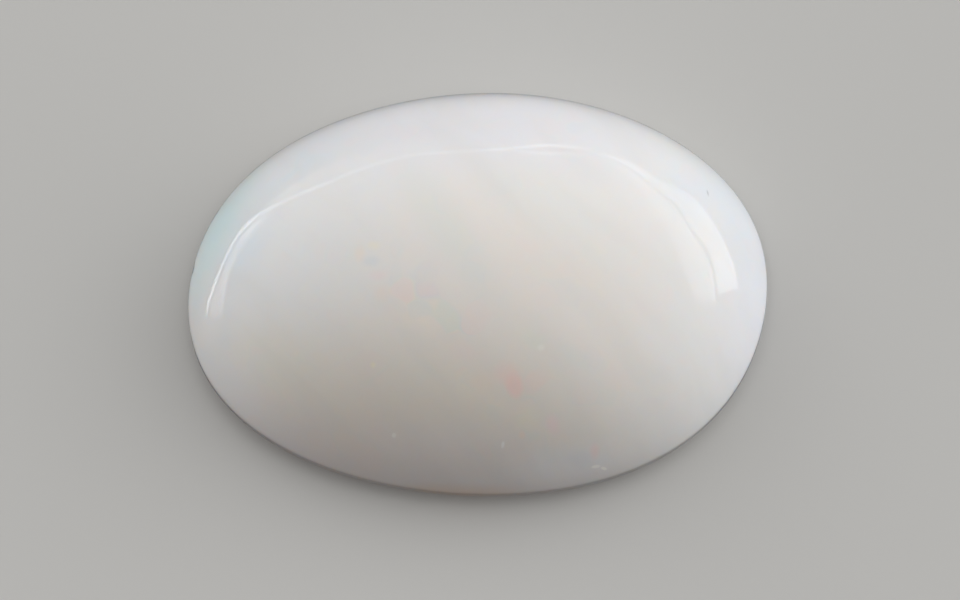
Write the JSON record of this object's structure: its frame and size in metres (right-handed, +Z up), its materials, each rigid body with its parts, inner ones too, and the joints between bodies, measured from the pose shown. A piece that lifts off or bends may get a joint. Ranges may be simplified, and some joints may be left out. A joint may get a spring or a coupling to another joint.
{
  "type": "polished opal cabochon",
  "caption": "Polished oval cabochon of milky white opal with a low smooth dome, a narrow girdle wall and a flat back, for setting in a bezel or display.",
  "frame": {"origin": "on the flat back that the stone lies on, at the middle of its outline's box", "axes": "+Z up through the top of the dome, +X along the oval's long axis, +Y across it, towards the side that is uppermost in the picture"},
  "size_m": [0.014, 0.0098, 0.0038],
  "materials": {
    "opal": "polished"
  },
  "bodies": {
    "root": {"opal_cabochon": "opal"}
  },
  "joints": []
}
